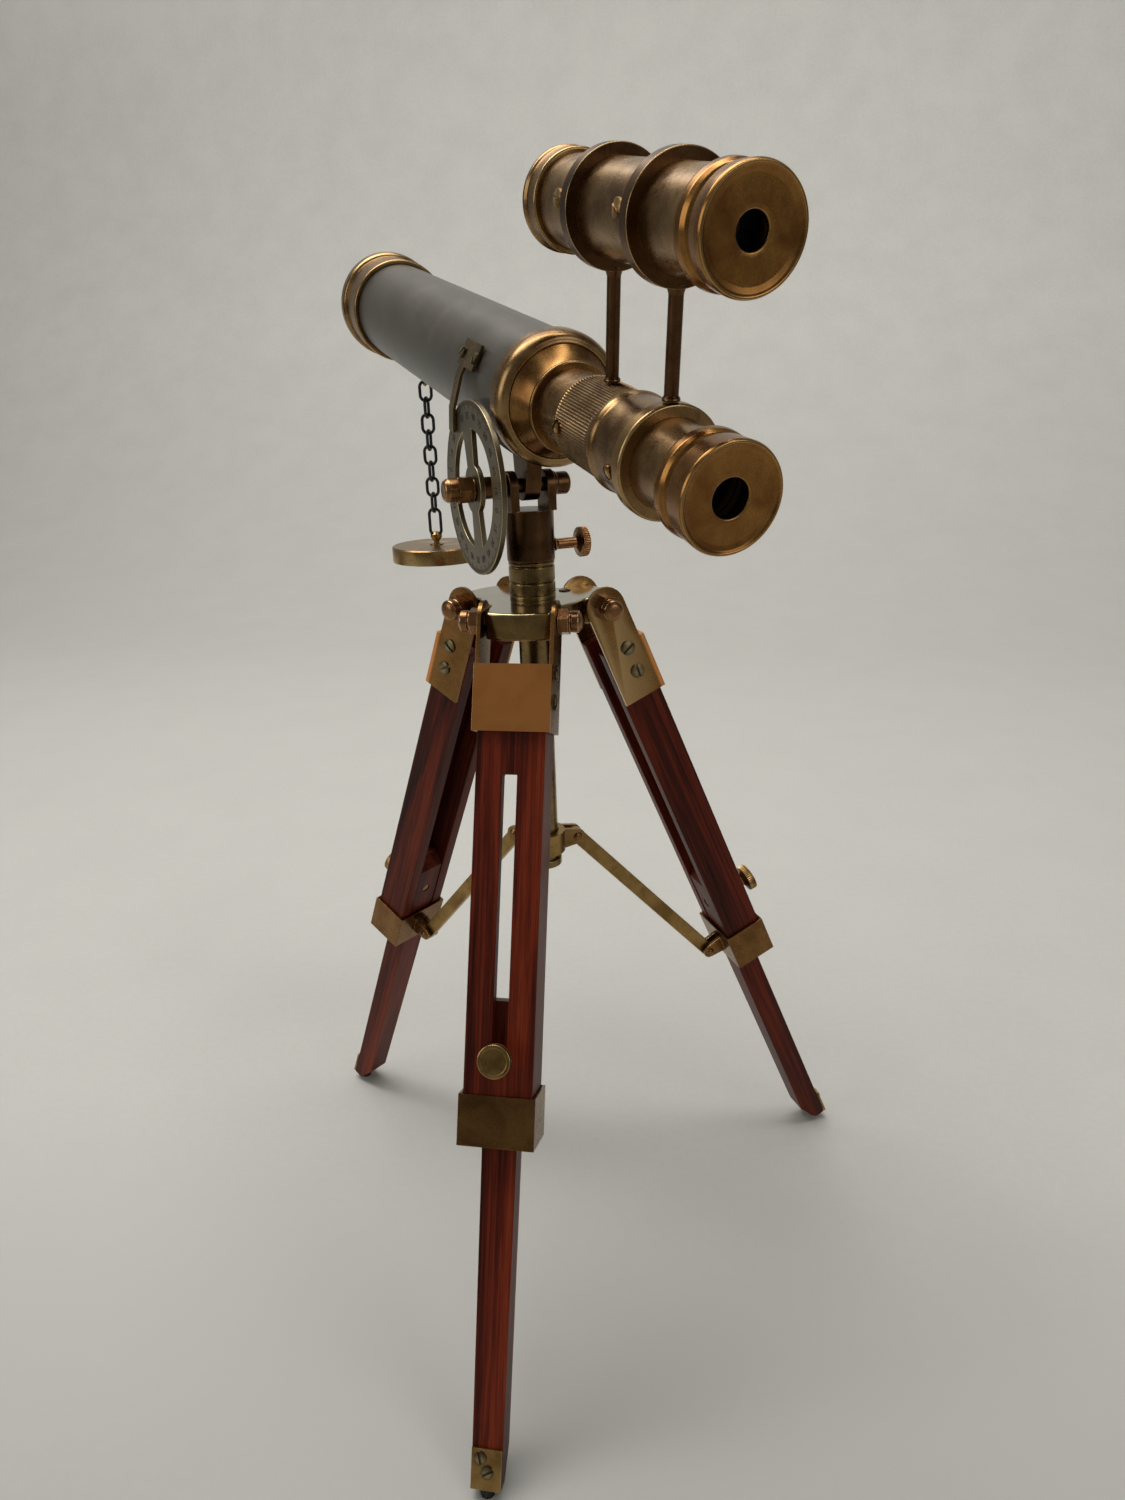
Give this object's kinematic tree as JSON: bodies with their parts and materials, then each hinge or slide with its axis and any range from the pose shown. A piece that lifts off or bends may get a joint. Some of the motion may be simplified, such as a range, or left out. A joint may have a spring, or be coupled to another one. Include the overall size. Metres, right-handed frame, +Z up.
{
  "type": "brass telescope",
  "caption": "Brass telescope with a leather-covered barrel, sliding draw tube, small finder, altitude dial and hanging lens cap, on a folding wooden tripod.",
  "frame": {"origin": "middle of the whole object's footprint, on the ground under the feet", "axes": "+Z up; -Y towards the front leg; +X to the right of someone who faces the front leg; the tube points up and away from -Y, to the left"},
  "size_m": [0.2588, 0.3294, 0.4318],
  "materials": {
    "wood": "lacquered deep red-brown, grain along the leg",
    "leather": "dark grey-black satin covering",
    "brass": "antique brass, satin with polished edges",
    "dark_brass": "darkened brass, satin",
    "copper_brass": "coppery brass, satin",
    "grey_brass": "grey patinated brass",
    "iron": "blackened iron",
    "lens": "clear polished glass"
  },
  "bodies": {
    "stand_head": {"head_plate": "grey_brass", "post_stub": "brass", "column": "brass", "front_pivot_bolt": "copper_brass", "right_pivot_bolt": "copper_brass", "left_pivot_bolt": "copper_brass"},
    "spreader": {"spreader_hub": "brass"},
    "front_leg": {"front_leg_cap": "copper_brass", "front_upper_leg": "wood", "front_leg_band": "brass"},
    "front_lower_leg": {"front_lower_leg": "wood", "front_foot_plate": "brass", "front_foot_pin": "iron"},
    "front_knob": {"front_clamp_knob": "brass"},
    "front_strut": {"front_strut": "brass"},
    "right_leg": {"right_leg_cap": "copper_brass", "right_upper_leg": "wood", "right_leg_band": "brass"},
    "right_lower_leg": {"right_lower_leg": "wood", "right_foot_plate": "brass", "right_foot_pin": "iron"},
    "right_knob": {"right_clamp_knob": "brass"},
    "right_strut": {"right_strut": "brass"},
    "left_leg": {"left_leg_cap": "copper_brass", "left_upper_leg": "wood", "left_leg_band": "brass"},
    "left_lower_leg": {"left_lower_leg": "wood", "left_foot_plate": "brass", "left_foot_pin": "iron"},
    "left_knob": {"left_clamp_knob": "brass"},
    "left_strut": {"left_strut": "brass"},
    "fork": {"fork_sleeve": "dark_brass", "tilt_axle": "dark_brass", "left_axle_nut": "copper_brass", "right_axle_nut": "dark_brass"},
    "thumbscrew": {"swivel_thumbscrew": "brass"},
    "tube": {"saddle": "dark_brass", "barrel": "leather", "objective_ring": "brass", "objective_lens": "lens", "bell": "brass", "altitude_dial": "grey_brass", "dial_strap": "grey_brass", "chain_eye": "iron"},
    "draw": {"draw_tube": "brass", "knurled_ring": "brass", "rear_collar": "brass", "eyepiece_tube": "brass", "eyepiece_cup": "brass", "eye_lens": "lens", "front_finder_bracket": "brass", "rear_finder_bracket": "brass", "finder_tube": "brass", "finder_objective_ring": "brass", "finder_objective_lens": "lens"},
    "finder_eye": {"finder_eyepiece": "brass", "finder_eye_lens": "lens"},
    "chain_top": {"upper_chain": "iron"},
    "chain_bottom": {"lower_chain": "iron"},
    "cap": {"lens_cap": "brass"}
  },
  "joints": [
    {"name": "front_leg_fold", "type": "hinge", "parent": "stand_head", "child": "front_leg", "pos_m": [0, -0.04297, 0.284], "axis": [1, 0, 0], "range_deg": [0, 14.8]},
    {"name": "right_leg_fold", "type": "hinge", "parent": "stand_head", "child": "right_leg", "pos_m": [0.02122, -0.00622, 0.284], "axis": [-0.5, 0.866, 0], "range_deg": [0, 14.8]},
    {"name": "left_leg_fold", "type": "hinge", "parent": "stand_head", "child": "left_leg", "pos_m": [-0.02122, -0.00622, 0.284], "axis": [-0.5, -0.866, 0], "range_deg": [0, 14.8]},
    {"name": "spreader_slide", "type": "slide", "parent": "stand_head", "child": "spreader", "axis": [0, 0, 1], "range_m": [0, 0.0146]},
    {"name": "front_strut_turn", "type": "hinge", "parent": "spreader", "child": "front_strut", "pos_m": [0, -0.03267, 0.1855], "axis": [1, 0, 0], "range_deg": [0, 30.8]},
    {"name": "right_strut_turn", "type": "hinge", "parent": "spreader", "child": "right_strut", "pos_m": [0.0123, -0.01137, 0.1855], "axis": [-0.5, 0.866, 0], "range_deg": [0, 30.8]},
    {"name": "left_strut_turn", "type": "hinge", "parent": "spreader", "child": "left_strut", "pos_m": [-0.0123, -0.01137, 0.1855], "axis": [-0.5, -0.866, 0], "range_deg": [0, 30.8]},
    {"name": "front_leg_length", "type": "slide", "parent": "front_leg", "child": "front_lower_leg", "axis": [0, 0.3875, 0.9219], "range_m": [0, 0.092]},
    {"name": "front_knob_turn", "type": "hinge", "parent": "front_lower_leg", "child": "front_knob", "pos_m": [0, -0.10284, 0.14157], "axis": [0, -0.9219, 0.3875], "range_deg": [0, 360]},
    {"name": "right_leg_length", "type": "slide", "parent": "right_leg", "child": "right_lower_leg", "axis": [-0.3356, -0.1938, 0.9219], "range_m": [0, 0.092]},
    {"name": "right_knob_turn", "type": "hinge", "parent": "right_lower_leg", "child": "right_knob", "pos_m": [0.07307, 0.02372, 0.14157], "axis": [0.7984, 0.4609, 0.3875], "range_deg": [0, 360]},
    {"name": "left_leg_length", "type": "slide", "parent": "left_leg", "child": "left_lower_leg", "axis": [0.3356, -0.1938, 0.9219], "range_m": [0, 0.092]},
    {"name": "left_knob_turn", "type": "hinge", "parent": "left_lower_leg", "child": "left_knob", "pos_m": [-0.07307, 0.02372, 0.14157], "axis": [-0.7984, 0.4609, 0.3875], "range_deg": [0, 360]},
    {"name": "head_swivel", "type": "hinge", "parent": "stand_head", "child": "fork", "pos_m": [0, -0.01847, 0.32], "axis": [0, 0, 1], "continuous": true},
    {"name": "thumbscrew_turn", "type": "hinge", "parent": "fork", "child": "thumbscrew", "pos_m": [0, -0.01847, 0.3073], "axis": [0.8387, 0.5446, 0], "range_deg": [0, 360]},
    {"name": "tube_tilt", "type": "hinge", "parent": "fork", "child": "tube", "pos_m": [0, -0.01847, 0.3299], "axis": [0.8387, 0.5446, 0], "range_deg": [-20, 30]},
    {"name": "draw_focus", "type": "slide", "parent": "tube", "child": "draw", "axis": [0.5327, -0.8203, -0.2079], "range_m": [-0.015, 0.03]},
    {"name": "finder_focus", "type": "slide", "parent": "draw", "child": "finder_eye", "axis": [0.5327, -0.8203, -0.2079], "range_m": [0, 0.012]},
    {"name": "chain_plumb", "type": "hinge", "parent": "tube", "child": "chain_top", "pos_m": [-0.07407, 0.10294, 0.36812], "axis": [0.8387, 0.5446, 0], "range_deg": [-30, 20]},
    {"name": "chain_swing", "type": "hinge", "parent": "chain_top", "child": "chain_bottom", "pos_m": [-0.07407, 0.10294, 0.33824], "axis": [0.8387, 0.5446, 0], "range_deg": [-25, 25]},
    {"name": "cap_swing", "type": "hinge", "parent": "chain_bottom", "child": "cap", "pos_m": [-0.07407, 0.10294, 0.2948], "axis": [0.8387, 0.5446, 0], "range_deg": [-15, 15]}
  ],
  "couplings": [
    {"joint": "right_leg_fold", "follows": "front_leg_fold", "ratio": 1},
    {"joint": "left_leg_fold", "follows": "front_leg_fold", "ratio": 1},
    {"joint": "spreader_slide", "follows": "front_leg_fold", "m_per_rad": 0.0562},
    {"joint": "front_strut_turn", "follows": "front_leg_fold", "ratio": 2.0693},
    {"joint": "right_strut_turn", "follows": "front_leg_fold", "ratio": 2.0693},
    {"joint": "left_strut_turn", "follows": "front_leg_fold", "ratio": 2.0693},
    {"joint": "chain_plumb", "follows": "tube_tilt", "ratio": -1}
  ]
}
